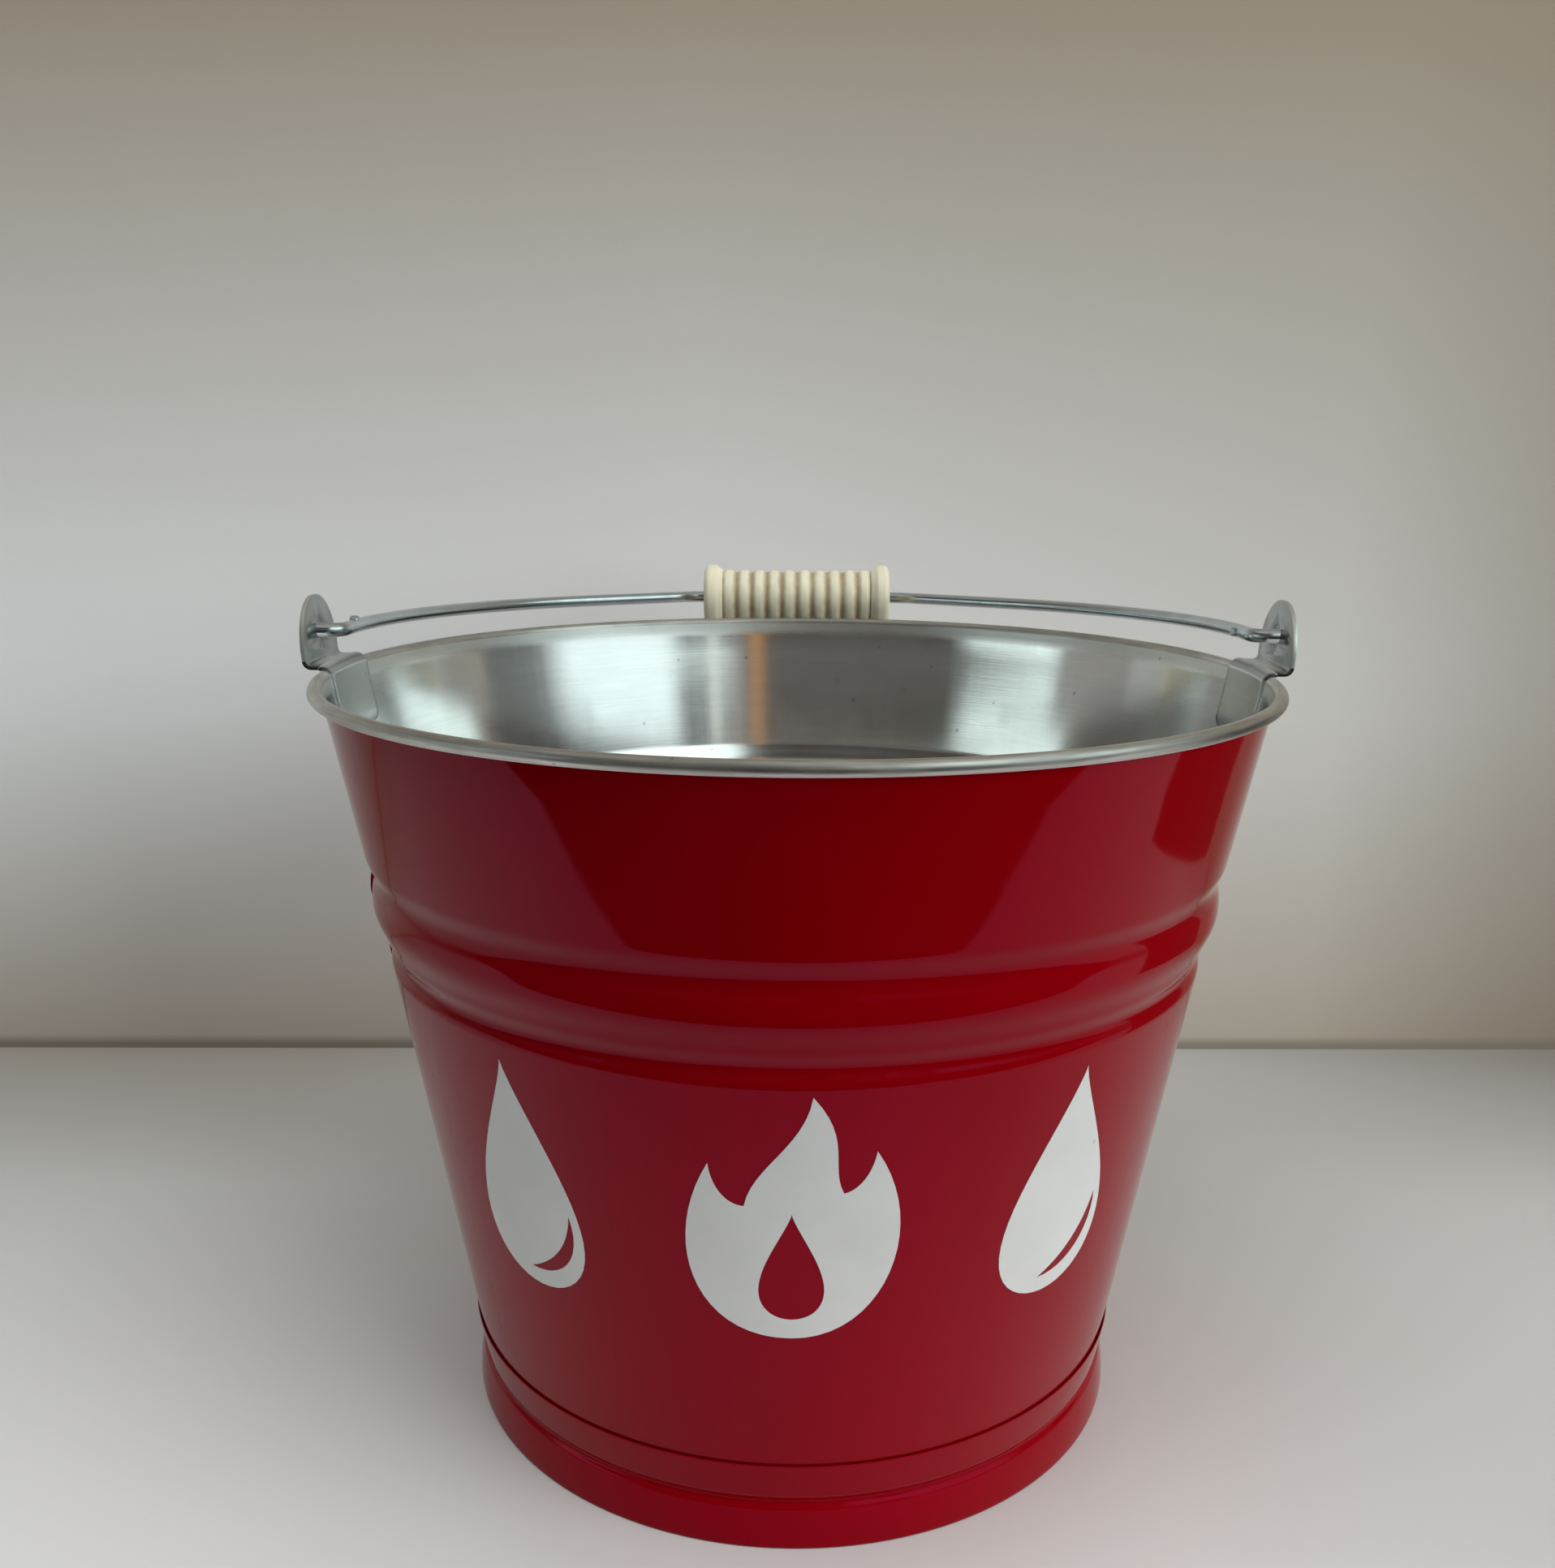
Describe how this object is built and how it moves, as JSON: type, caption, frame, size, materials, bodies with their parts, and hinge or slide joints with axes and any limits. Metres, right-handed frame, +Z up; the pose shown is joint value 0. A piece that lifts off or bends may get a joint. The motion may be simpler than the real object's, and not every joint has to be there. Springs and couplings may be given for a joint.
{
  "type": "fire bucket",
  "caption": "Tapered sheet-steel fire bucket with a wired rim, two ears and a swinging wire bail that carries a turned grip.",
  "frame": {"origin": "centre of the foot ring, on the surface that the bucket stands on", "axes": "+Z up along the bucket's axis, X through the two ears, +Y towards the side where the bail lies at rest"},
  "size_m": [0.3036, 0.3105, 0.251],
  "materials": {
    "red_enamel": "glossy stoved enamel outside, bare bright zinc inside and on the rolled rim",
    "white_print": "white screen-printed enamel on the red, satin",
    "zinc_sheet": "bright zinc plate with faint rolling lines",
    "steel_wire": "zinc-plated drawn wire",
    "seal_compound": "grey sealing compound, matt",
    "ivory_grip": "ivory, satin, lightly turned"
  },
  "bodies": {
    "bucket": {"body_shell": "red_enamel", "rim_wire": "steel_wire", "bottom_pan": "zinc_sheet", "bottom_seal": "seal_compound", "foot_ring": "red_enamel", "ear_left": "zinc_sheet", "ear_right": "zinc_sheet"},
    "bail": {"bail": "steel_wire"},
    "grip": {"grip": "ivory_grip"}
  },
  "joints": [
    {"name": "bail_swing", "type": "hinge", "parent": "bucket", "child": "bail", "pos_m": [0, 0, 0.24], "axis": [1, 0, 0], "range_deg": [0, 182.3]},
    {"name": "grip_spin", "type": "hinge", "parent": "bail", "child": "grip", "pos_m": [0, 0.15247, 0.23684], "axis": [1, 0, 0], "continuous": true}
  ]
}
